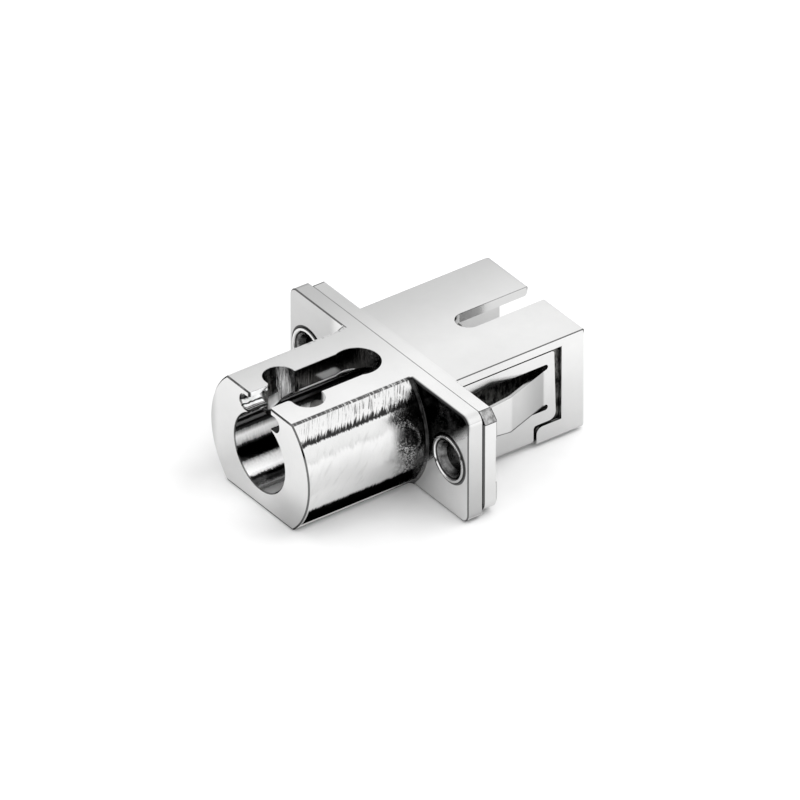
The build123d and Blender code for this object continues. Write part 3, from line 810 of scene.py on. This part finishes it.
def ground_ceramic():
    return plain_finish(
        "ceramic_sleeve",
        tones=((0.86, 0.85, 0.82), (0.92, 0.91, 0.88)),
        tone_scale=0.6,
        relief_scales=(1.0, 10.0, 1.0),
        relief_noise={"detail": 2.0, "rough": 0.5},
        metallic=0.0,
        gloss=(0.2, 0.35),
        relief={"strength": 0.2, "depth": 0.01},
    )


def dress(made, *pieces):
    """Gives the pieces a material in place of the one they came with."""
    for piece in pieces:
        mesh = nodes[piece].data
        mesh.materials.clear()
        mesh.materials.append(made)


def shown_rays(t):
    """1 where the camera, a mirror or a glass sees the surface, 0 where it lights others."""
    path = t.add("ShaderNodeLightPath").outputs
    return t.most(path["Is Camera Ray"], t.most(path["Is Glossy Ray"], path["Is Transmission Ray"]))


def paper_floor():
    """Pale paper, with painted shade: a little greyer near the object so that its soft shadow shows."""
    bpy.ops.mesh.primitive_circle_add(
        vertices=96, radius=3.0, fill_type="NGON", location=(0, 0, lower_flat_z * MM)
    )
    floor = bpy.context.object
    floor.name = "floor"
    made = bpy.data.materials.new("floor")
    made.use_nodes = True
    t = Tree(made.node_tree)
    place = t.add("ShaderNodeTexCoord").outputs["Object"]
    fibres = t.times(t.noise(place, scale=400.0, detail=2.0), 0.05)
    away = t.step(t.vector("LENGTH", place), 0.012, 0.045)
    tone = t.ramp(t.plus(fibres, t.between(away, 0.74, 0.86)), ((0.0, 0.0), (1.0, 1.0)))
    diffuse = t.add("ShaderNodeBsdfDiffuse", {"Color": tone})
    glow = t.add(
        "ShaderNodeEmission", {"Color": opaque(1.0), "Strength": t.times(shown_rays(t), 0.06)}
    )
    both = t.add("ShaderNodeAddShader", {0: diffuse.outputs[0], 1: glow.outputs[0]})
    t.add("ShaderNodeOutputMaterial", {"Surface": both.outputs[0]})
    floor.data.materials.append(made)


def studio_world():
    """A white sky, with the room's unlit side low down, ahead of the barrel and to its right."""
    unlit_side = (0.807, -0.59, 0.0)
    world = bpy.data.worlds.new("studio")
    scene.world = world
    world.use_nodes = True
    t = Tree(world.node_tree)
    direction = t.add("ShaderNodeTexCoord").outputs["Generated"]
    height = t.split(direction)[Z]
    toward_it = t.vector("DOT_PRODUCT", direction, unlit_side)
    unlit = t.times(t.step(toward_it, 0.55, 0.72), t.step(height, 0.24, 0.12))
    sky = t.mix(unlit, t.ramp(height, SKY_TONES), 0.01)
    camera_ray = t.add("ShaderNodeLightPath").outputs["Is Camera Ray"]
    background = t.add(
        "ShaderNodeBackground", {"Color": t.mix(camera_ray, sky, 0.8), "Strength": 1.25}
    )
    t.add("ShaderNodeOutputWorld", {"Surface": background.outputs[0]})


def lamp(name, kind, power, place, aim):
    """A lamp that isn't mirrored in the metal, at a place in metres, turned to its aim."""
    made = bpy.data.objects.new(name, bpy.data.lights.new(name, kind))
    scene.collection.objects.link(made)
    made.data.energy = power
    made.visible_glossy = False
    made.location = place
    made.rotation_euler = (Vector(place) - Vector(aim)).to_track_quat("Z", "Y").to_euler()
    return made.data


def studio_lamps():
    """A softbox above and behind the object, and a small spot that reaches into the bore."""
    softbox_place = (0.10, 0.11, 0.25)
    spot_place = (0.012, -0.065, 0.012)
    bore_place = Vector((-2, -12, -1)) * MM
    softbox = lamp("softbox", "AREA", power=0.42, place=softbox_place, aim=(0.0, 0.0, 0.0))
    softbox.shape = "SQUARE"
    softbox.size = 0.22
    spot = lamp("bore_lamp", "SPOT", power=0.35, place=spot_place, aim=bore_place)
    spot.shadow_soft_size = 0.004
    spot.spot_size = math.radians(8)
    spot.spot_blend = 0.5


def photograph_camera():
    """A far camera at the photograph's angle, with the origin at its pixel and at its scale."""
    azimuth = math.radians(53.8514)
    elevation = math.radians(33.7928)
    photo_size_px = 800
    origin_px = (408.249, 392.752)
    px_per_mm = 12.691
    distance = 1.6
    sensor_width = 36.0

    back = Vector((
        math.sin(azimuth) * math.cos(elevation),
        -math.cos(azimuth) * math.cos(elevation),
        math.sin(elevation),
    ))
    right = Vector((math.cos(azimuth), math.sin(azimuth), 0))
    up = back.cross(right)
    right_px = photo_size_px / 2 - origin_px[0]
    up_px = origin_px[1] - photo_size_px / 2
    aim = (right * right_px + up * up_px) / px_per_mm * MM

    data = bpy.data.cameras.new("camera")
    camera = bpy.data.objects.new("camera", data)
    scene.collection.objects.link(camera)
    camera.location = aim + back * distance
    camera.rotation_euler = back.to_track_quat("Z", "Y").to_euler()
    data.sensor_width = sensor_width
    data.lens = sensor_width * distance / (photo_size_px / px_per_mm * MM)
    data.clip_start = 0.5
    data.clip_end = 6.0
    scene.camera = camera


dress(FrontCasting().made, "front_housing")
dress(RearCasting().made, "rear_housing")
dress(sprung_steel(), "panel_clip")
dress(plated_rivet(), "rivet_left", "rivet_right")
dress(turned_holder(), "front_sleeve_holder")
dress(moulded_insert(), "latch_insert")
dress(ground_ceramic(), "alignment_sleeve")
paper_floor()
studio_world()
studio_lamps()
photograph_camera()
scene.view_settings.view_transform = "Standard"
